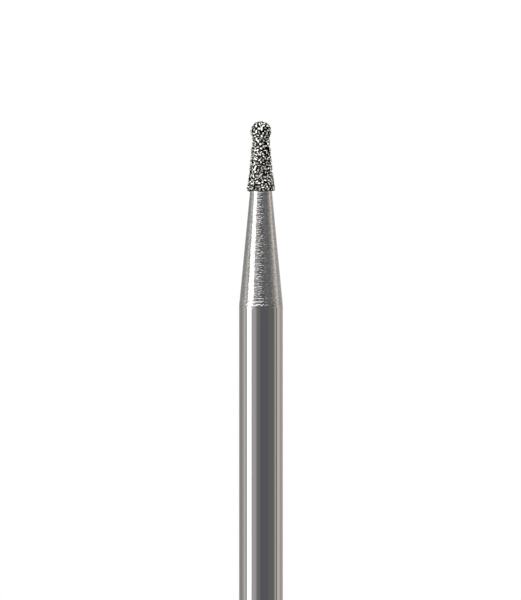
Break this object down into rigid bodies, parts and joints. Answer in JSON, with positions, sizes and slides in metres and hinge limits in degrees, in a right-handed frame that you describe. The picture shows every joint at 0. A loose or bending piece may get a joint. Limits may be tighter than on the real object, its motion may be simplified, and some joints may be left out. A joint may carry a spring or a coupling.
{
  "type": "dental bur",
  "caption": "Friction-grip dental bur: a ball tip and tapered collar coated in diamond grit, on a conical neck and a plain round shank.",
  "frame": {"origin": "centre of the flat end face of the shank, at its lower end", "axes": "+Z along the bur's axis, from the end of the shank towards the coated tip; X and Y are square to it and alike"},
  "size_m": [0.0016, 0.0016, 0.019],
  "materials": {
    "turned_steel": "stainless steel, the shank ground bright and the neck left with fine turning marks",
    "diamond_grit": "grey diamond grains half sunk in a satin nickel plating"
  },
  "bodies": {
    "root": {"steel_blank": "turned_steel", "diamond_coating": "diamond_grit"}
  },
  "joints": []
}
